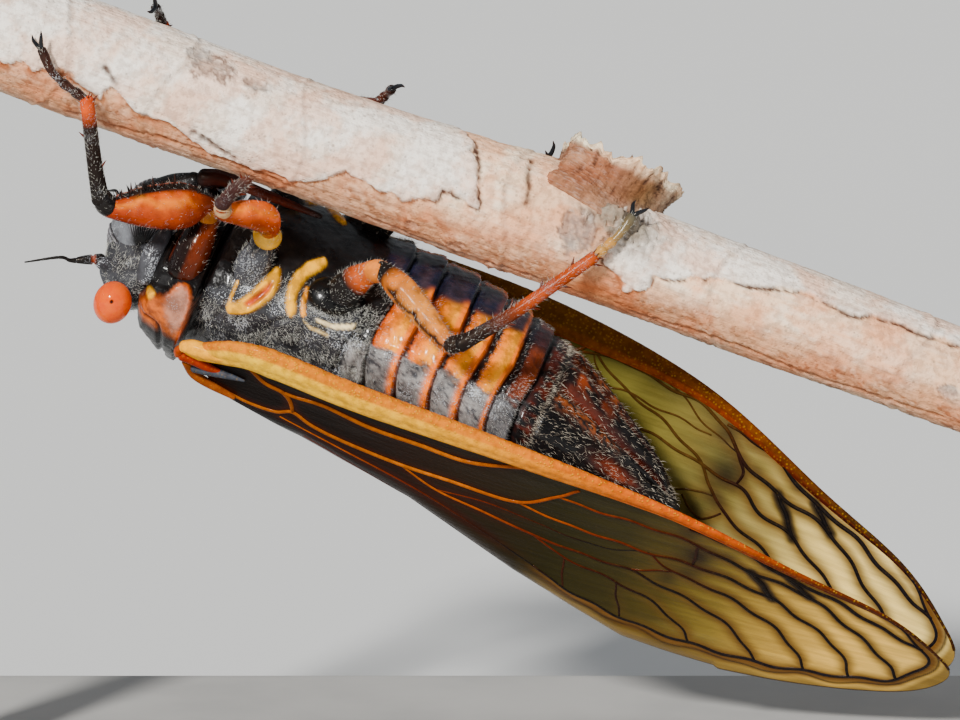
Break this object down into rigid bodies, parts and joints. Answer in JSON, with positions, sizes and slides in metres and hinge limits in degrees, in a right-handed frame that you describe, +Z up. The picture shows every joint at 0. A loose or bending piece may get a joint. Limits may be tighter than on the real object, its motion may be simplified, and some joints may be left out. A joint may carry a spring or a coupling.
{
  "type": "periodical cicada on a twig",
  "caption": "Life-size periodical cicada clinging under a cut length of twig, veined amber wings folded roof-like over its body, carried by a plain flat stand with short rods.",
  "frame": {"origin": "middle of the stand base's underside", "axes": "+Z up; +X along the base's long side, towards the end where the twig is low and the cicada's tail points; +Y away from the viewer who sees the cicada's right side, across the base"},
  "size_m": [0.055, 0.03, 0.0389],
  "materials": {
    "cuticle_black": "satin",
    "cuticle_orange": "gloss",
    "shank_brown": "satin",
    "eye_red": "gloss",
    "wing_membrane": "satin",
    "bark": "matte",
    "stand_resin": "matte",
    "stand_steel": "satin"
  },
  "bodies": {
    "root": {"head": "cuticle_black", "eye_left": "eye_red", "eye_right": "eye_red", "antenna_left": "shank_brown", "antenna_right": "shank_brown", "rostrum": "shank_brown", "pronotum": "cuticle_black", "mesothorax": "cuticle_black", "metathorax": "cuticle_black", "abdomen": "cuticle_black", "tail_segment": "cuticle_black", "fore_leg_left_coxa": "cuticle_orange", "fore_leg_left_femur": "cuticle_orange", "fore_leg_left_tibia": "shank_brown", "fore_leg_right_coxa": "cuticle_orange", "fore_leg_right_femur": "cuticle_orange", "fore_leg_right_tibia": "shank_brown", "middle_leg_left_coxa": "cuticle_black", "middle_leg_left_femur": "cuticle_orange", "middle_leg_left_tibia": "shank_brown", "middle_leg_right_coxa": "cuticle_black", "middle_leg_right_femur": "cuticle_orange", "middle_leg_right_tibia": "shank_brown", "hind_leg_left_coxa": "cuticle_orange", "hind_leg_left_femur": "cuticle_orange", "hind_leg_left_tibia": "shank_brown", "hind_leg_right_coxa": "cuticle_orange", "hind_leg_right_femur": "cuticle_orange", "hind_leg_right_tibia": "shank_brown", "forewing_left": "wing_membrane", "forewing_right": "wing_membrane", "hindwing_left": "wing_membrane", "hindwing_right": "wing_membrane", "twig": "bark", "stand_base": "stand_resin", "stand_rod_left": "stand_steel", "stand_rod_right": "stand_steel"}
  },
  "joints": []
}
